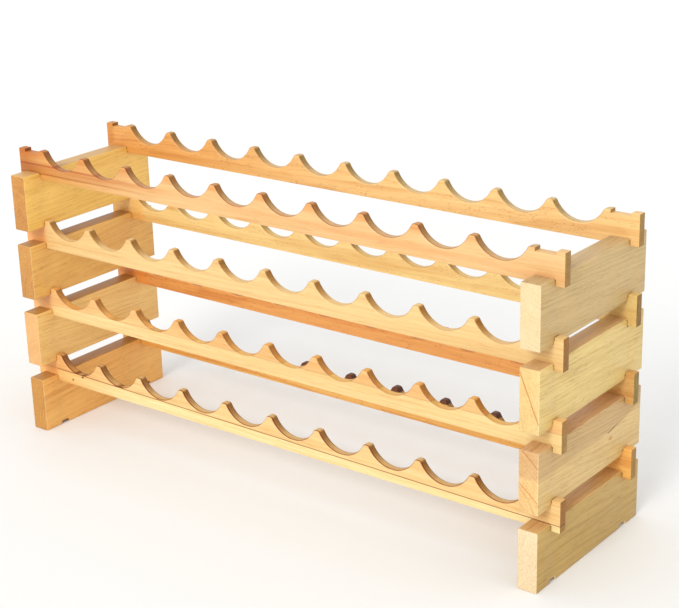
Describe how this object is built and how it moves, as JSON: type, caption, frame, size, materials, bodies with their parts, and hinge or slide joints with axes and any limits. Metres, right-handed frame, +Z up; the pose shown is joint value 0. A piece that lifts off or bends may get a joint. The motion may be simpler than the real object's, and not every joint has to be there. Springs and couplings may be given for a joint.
{
  "type": "wine rack",
  "caption": "Stacking wooden wine rack: notched side boards carry scalloped cross rails tier upon tier, and each bottle lies in a front and a back scallop.",
  "frame": {"origin": "centre of the rack's bounding box at floor level", "axes": "+X along the rails to the right seen from the front, +Y from the front to the back along the bottles, +Z up"},
  "size_m": [1, 0.28, 0.4706],
  "materials": {
    "board_wood": "satin, clear lacquered",
    "rail_wood": "satin, clear lacquered"
  },
  "bodies": {
    "tier_1": {"tier1_left_board": "board_wood", "tier1_right_board": "board_wood", "tier1_front_rail": "rail_wood", "tier1_back_rail": "rail_wood"},
    "tier_2": {"tier2_left_board": "board_wood", "tier2_right_board": "board_wood", "tier2_front_rail": "rail_wood", "tier2_back_rail": "rail_wood"},
    "tier_3": {"tier3_left_board": "board_wood", "tier3_right_board": "board_wood", "tier3_front_rail": "rail_wood", "tier3_back_rail": "rail_wood"},
    "tier_4": {"tier4_left_board": "board_wood", "tier4_right_board": "board_wood", "tier4_front_rail": "rail_wood", "tier4_back_rail": "rail_wood"}
  },
  "joints": [
    {"name": "tier_2_lift", "type": "slide", "parent": "tier_1", "child": "tier_2", "axis": [0, 0, 1], "range_m": [0, 0.06]},
    {"name": "tier_3_lift", "type": "slide", "parent": "tier_2", "child": "tier_3", "axis": [0, 0, 1], "range_m": [0, 0.06]},
    {"name": "tier_4_lift", "type": "slide", "parent": "tier_3", "child": "tier_4", "axis": [0, 0, 1], "range_m": [0, 0.06]}
  ]
}
